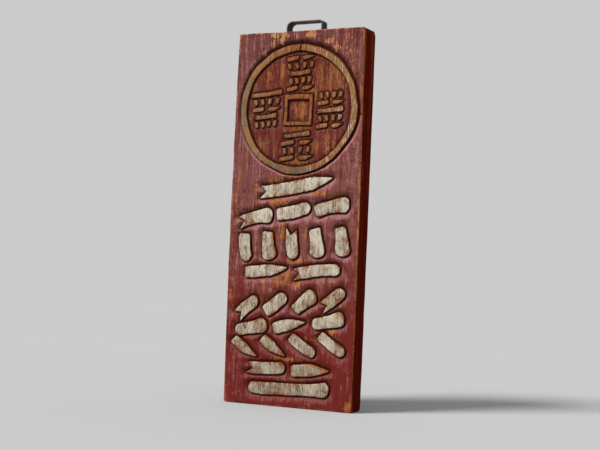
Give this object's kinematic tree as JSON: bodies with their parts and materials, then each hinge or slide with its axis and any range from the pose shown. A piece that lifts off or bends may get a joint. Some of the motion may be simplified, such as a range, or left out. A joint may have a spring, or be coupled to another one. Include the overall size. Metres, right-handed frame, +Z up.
{
  "type": "carved wooden shop sign",
  "caption": "Tall carved plank shop sign with a coin-like ring and rows of brush strokes in low relief, painted and worn, with a flat iron strap on top to hang it by.",
  "frame": {"origin": "middle of the underside of the iron strap's top run, where the sign sits on a peg or a hook", "axes": "+X to the right as seen from the front, +Y from the carved front to the plain back, +Z up along the plank"},
  "size_m": [0.229, 0.044, 0.6185],
  "materials": {
    "painted_wood": "worn matt paint on carved wood",
    "iron": "dark oxidised wrought iron"
  },
  "bodies": {
    "root": {"sign_board": "painted_wood", "iron_hanger": "iron"}
  },
  "joints": []
}
